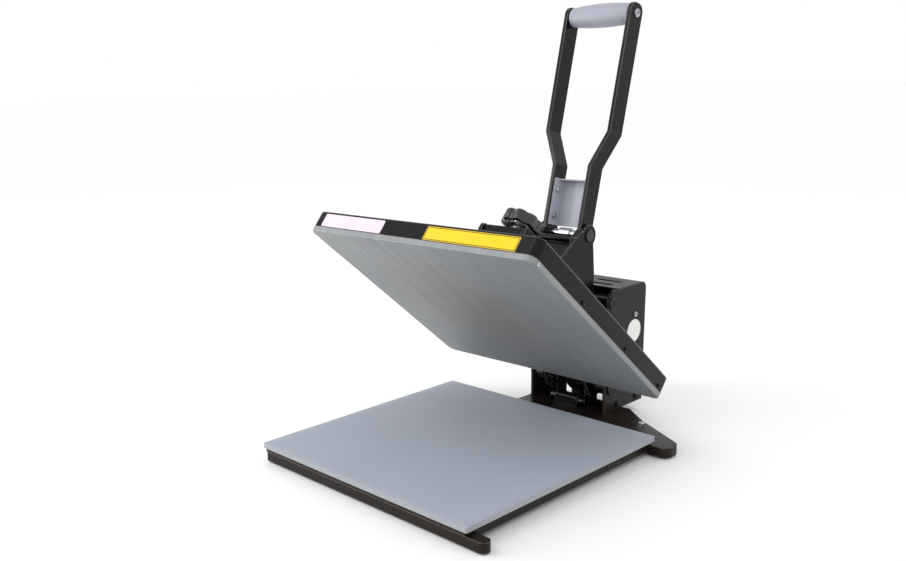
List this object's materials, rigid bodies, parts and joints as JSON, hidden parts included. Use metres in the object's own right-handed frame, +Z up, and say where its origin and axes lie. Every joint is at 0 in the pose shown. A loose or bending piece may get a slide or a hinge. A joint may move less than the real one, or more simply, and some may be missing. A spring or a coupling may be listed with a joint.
{
  "type": "heat press",
  "caption": "Clamshell heat press with a square heated platen, padded work table, tall lever handle, pressure knob and gas-spring column",
  "frame": {"origin": "centre of the work table, on the upper face of its pad", "axes": "+X to the right seen from the operator, +Y to the column at the back, +Z up"},
  "size_m": [0.428, 0.5372, 0.6013],
  "materials": {
    "black_paint": "semi-gloss black powder coat",
    "grey_paint": "satin grey paint",
    "plate_alu": "worn, lightly brushed",
    "bright_steel": "bright turned steel",
    "zinc": "bright zinc plate",
    "dark_rod": "dark nitrided",
    "chrome_plate": "polished",
    "bronze": "sintered bronze",
    "pad_silicone": "matt silicone sponge",
    "foot_rubber": "matt",
    "grip_plastic": "satin slate grey moulding",
    "knob_plastic": "moulded phenolic",
    "housing_plastic": "fine texture",
    "display_plastic": "dark tinted window",
    "button_plastic": "matt",
    "white_vinyl": "printed film, blank",
    "yellow_vinyl": "printed film, blank",
    "blanket_fibre": "needled glass fibre",
    "heater_steel": "oxidised sheath",
    "relay_plastic": "matt white"
  },
  "bodies": {
    "base": {"front_foot": "black_paint", "rear_foot": "black_paint", "rubber_feet": "foot_rubber", "base_rails": "black_paint", "lower_tray": "black_paint", "silicone_pad": "pad_silicone", "column_left_plate": "black_paint", "column_right_plate": "black_paint", "rear_cover": "black_paint", "bulkhead": "black_paint", "column_screws": "zinc", "foot_bolts": "zinc", "round_label": "white_vinyl", "hinge_pins": "bright_steel", "link_shaft": "bright_steel", "shaft_spacers": "black_paint", "spring_anchor": "black_paint", "controller_body": "housing_plastic", "display_window": "display_plastic", "switch_frame": "housing_plastic", "power_inlet": "housing_plastic", "relay": "relay_plastic", "heater_cable": "foot_rubber"},
    "arms": {"arm_left_plate": "black_paint", "arm_right_plate": "black_paint", "neck_plate": "black_paint", "pressure_block": "black_paint", "arm_spacers": "black_paint", "arm_bolts": "zinc", "hinge_bushes": "bronze", "pivot_pin": "chrome_plate", "pivot_sleeve": "chrome_plate", "spring_head_pin": "bright_steel"},
    "handle": {"handle_left_bar": "black_paint", "handle_right_bar": "black_paint", "grip": "grip_plastic", "grip_rod": "bright_steel", "handle_bolts": "zinc", "handle_bracket": "grey_paint"},
    "links": {"toggle_links": "black_paint", "link_pin": "bright_steel"},
    "gas_rods": {"spring_rods": "dark_rod"},
    "gas_cylinders": {"spring_cylinders": "black_paint"},
    "platen": {"heating_plate": "plate_alu", "heating_element": "heater_steel", "insulation_blanket": "blanket_fibre", "platen_cover": "black_paint", "cover_screws": "zinc", "white_label": "white_vinyl", "yellow_label": "yellow_vinyl", "thrust_plate": "black_paint", "guide_rods": "bright_steel", "cable_gland": "housing_plastic"},
    "screw": {"pressure_screw": "bright_steel", "knob_collar": "chrome_plate", "knob": "knob_plastic"},
    "key_down": {"button_down": "button_plastic"},
    "key_set": {"button_set": "button_plastic"},
    "key_up": {"button_up": "button_plastic"},
    "rocker": {"switch_rocker": "housing_plastic"}
  },
  "joints": [
    {"name": "arms_hinge", "type": "hinge", "parent": "base", "child": "arms", "pos_m": [0, 0.26, 0.026], "axis": [1, 0, 0], "range_deg": [0, 39.6], "deforming": ["heater_cable"]},
    {"name": "handle_turn", "type": "hinge", "parent": "arms", "child": "handle", "pos_m": [0, 0.23524, 0.25414], "axis": [1, 0, 0], "range_deg": [-0.5, 62.5]},
    {"name": "links_turn", "type": "hinge", "parent": "base", "child": "links", "pos_m": [0, 0.2544, 0.1558], "axis": [1, 0, 0], "range_deg": [-0.5, 45.88]},
    {"name": "gas_rod_turn", "type": "hinge", "parent": "base", "child": "gas_rods", "pos_m": [0, 0.25, -0.002], "axis": [1, 0, 0], "range_deg": [-0.5, 34.02]},
    {"name": "gas_spring_stroke", "type": "slide", "parent": "gas_rods", "child": "gas_cylinders", "axis": [0, -0.1876, 0.9823], "range_m": [-0.01501, 0.0002]},
    {"name": "knob_turn", "type": "hinge", "parent": "platen", "child": "screw", "pos_m": [0, 0.1215, 0.26647], "axis": [0, 0.6374, 0.7705], "range_deg": [-361, 361]},
    {"name": "platen_slide", "type": "slide", "parent": "arms", "child": "platen", "axis": [0, 0.6374, 0.7705], "range_m": [-0.002, 0.002]},
    {"name": "press_down", "type": "slide", "parent": "base", "child": "key_down", "axis": [1, 0, 0], "range_m": [0, 0.0012], "stiffness_N_per_m": 400, "springref_m": -0.0008},
    {"name": "press_set", "type": "slide", "parent": "base", "child": "key_set", "axis": [1, 0, 0], "range_m": [0, 0.0012], "stiffness_N_per_m": 400, "springref_m": -0.0008},
    {"name": "press_up", "type": "slide", "parent": "base", "child": "key_up", "axis": [1, 0, 0], "range_m": [0, 0.0012], "stiffness_N_per_m": 400, "springref_m": -0.0008},
    {"name": "power_rocker", "type": "hinge", "parent": "base", "child": "rocker", "pos_m": [-0.034, 0.342, 0.043], "axis": [1, 0, 0], "range_deg": [0, 14]}
  ],
  "couplings": [
    {"joint": "handle_turn", "follows": "arms_hinge", "ratio": 1.5657},
    {"joint": "links_turn", "follows": "arms_hinge", "ratio": 1.1459},
    {"joint": "gas_rod_turn", "follows": "arms_hinge", "ratio": 0.84654},
    {"joint": "gas_spring_stroke", "follows": "arms_hinge", "m_per_rad": -0.021423},
    {"joint": "knob_turn", "follows": "platen_slide", "rad_per_m": 3141.6}
  ]
}
